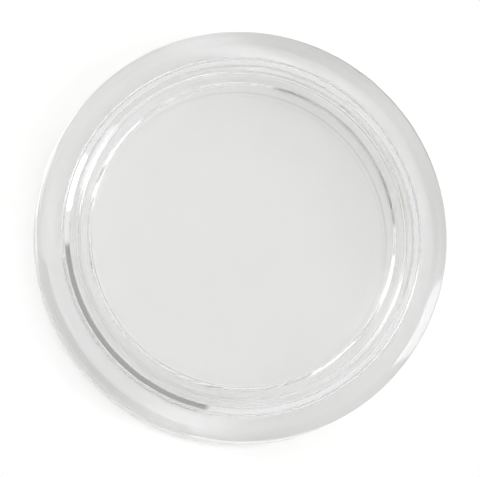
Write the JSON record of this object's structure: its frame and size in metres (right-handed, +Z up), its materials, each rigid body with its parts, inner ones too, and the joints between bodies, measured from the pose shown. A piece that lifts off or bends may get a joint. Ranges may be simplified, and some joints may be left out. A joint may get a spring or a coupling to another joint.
{
  "type": "coin capsule",
  "caption": "Round clear plastic coin capsule: a base with a recessed coin pocket and a push-on lid, for a coin of 42 mm.",
  "frame": {"origin": "centre of the capsule, at the plane of the foot ring that it stands on", "axes": "+Z up along the capsule's axis, from the base to the lid; the lid's gate mark lies 51 degrees from +X towards +Y"},
  "size_m": [0.0514, 0.0514, 0.0072],
  "materials": {
    "clear_plastic": "clear, polished"
  },
  "bodies": {
    "base": {"capsule_base": "clear_plastic"},
    "lid": {"capsule_lid": "clear_plastic"}
  },
  "joints": [
    {"name": "lid_lift", "type": "slide", "parent": "base", "child": "lid", "axis": [0, 0, 1], "range_m": [0, 0.02]}
  ]
}
